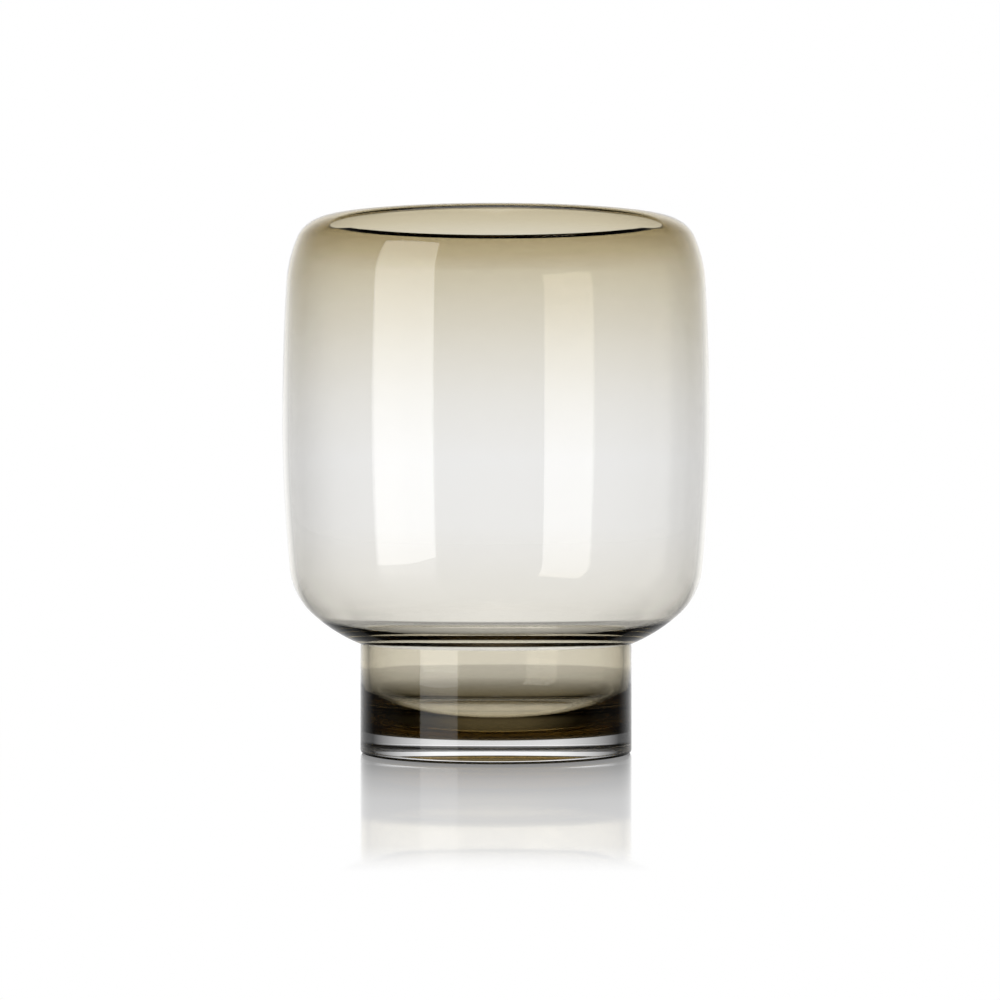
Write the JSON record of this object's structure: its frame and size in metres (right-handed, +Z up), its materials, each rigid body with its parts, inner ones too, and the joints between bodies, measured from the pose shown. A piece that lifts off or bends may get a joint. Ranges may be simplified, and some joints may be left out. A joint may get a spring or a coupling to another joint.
{
  "type": "footed glass vase",
  "caption": "Blown glass vase: a wide bowl with rounded shoulders on a narrower round foot, smoke tint fading to clear, heavy clear base.",
  "frame": {"origin": "centre of the standing ring, on the surface the vase stands on", "axes": "+Z up the vase's axis of revolution, towards the mouth; X and Y are equivalent"},
  "size_m": [0.16, 0.16, 0.2],
  "materials": {
    "clear_glass": "fire-polished colourless glass",
    "smoke_glass": "smoke-brown glass, dense at the lip and in the foot, faint at the belly",
    "base_glass": "colourless glass, polished side, ground standing ring"
  },
  "bodies": {
    "root": {"clear_casing": "clear_glass", "smoke_lining": "smoke_glass", "clear_base": "base_glass"}
  },
  "joints": []
}
